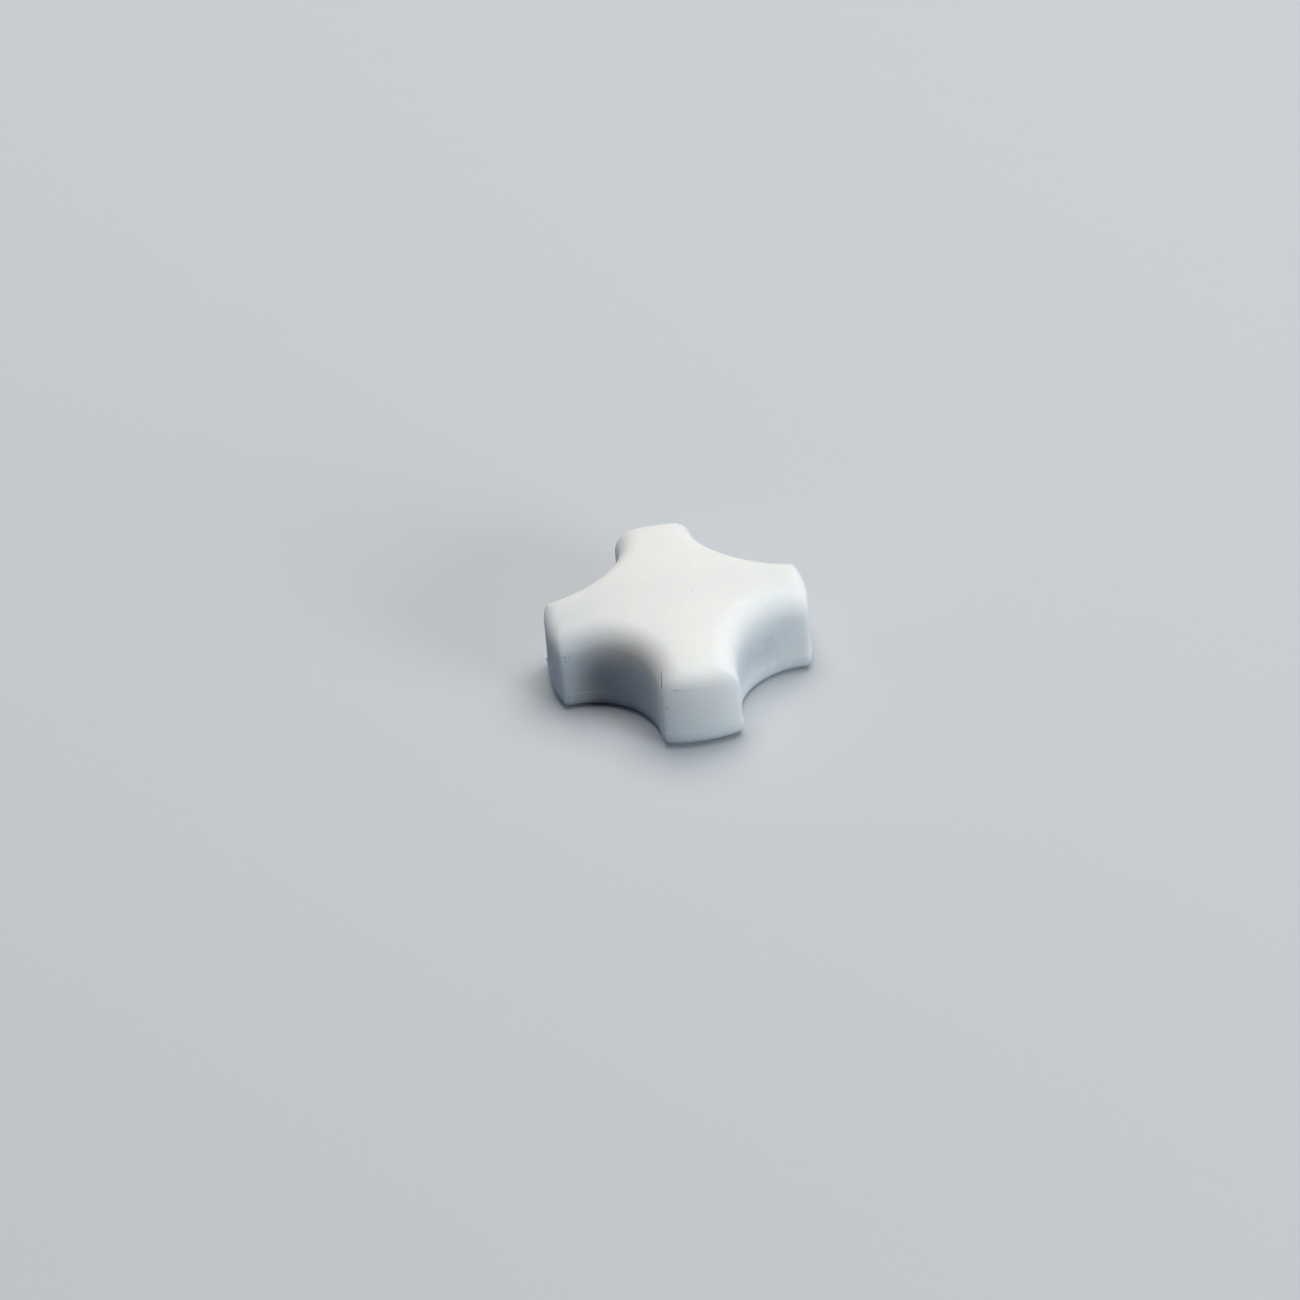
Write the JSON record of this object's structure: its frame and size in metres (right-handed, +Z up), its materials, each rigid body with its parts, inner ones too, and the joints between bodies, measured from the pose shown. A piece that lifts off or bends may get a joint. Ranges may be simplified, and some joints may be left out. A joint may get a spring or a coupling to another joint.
{
  "type": "magnetic stir bar",
  "caption": "White cross-shaped PTFE stir bar with equal blunt arms and scooped recesses between them, a bar magnet sealed inside; spins in a vessel to stir a liquid.",
  "frame": {"origin": "centre of the resting face, on the surface that the stir bar lies on", "axes": "+Z up through the centre of the cross, which is also the spin axis; the four arms lie along +X, -X, +Y and -Y, and the sealed magnet runs along X"},
  "size_m": [0.038, 0.038, 0.0145],
  "materials": {
    "ptfe": "waxy satin white, slightly translucent, as moulded",
    "magnet_alloy": "cast and ground grey magnet alloy, uncoated"
  },
  "bodies": {
    "root": {"jacket": "ptfe", "magnet": "magnet_alloy"}
  },
  "joints": []
}
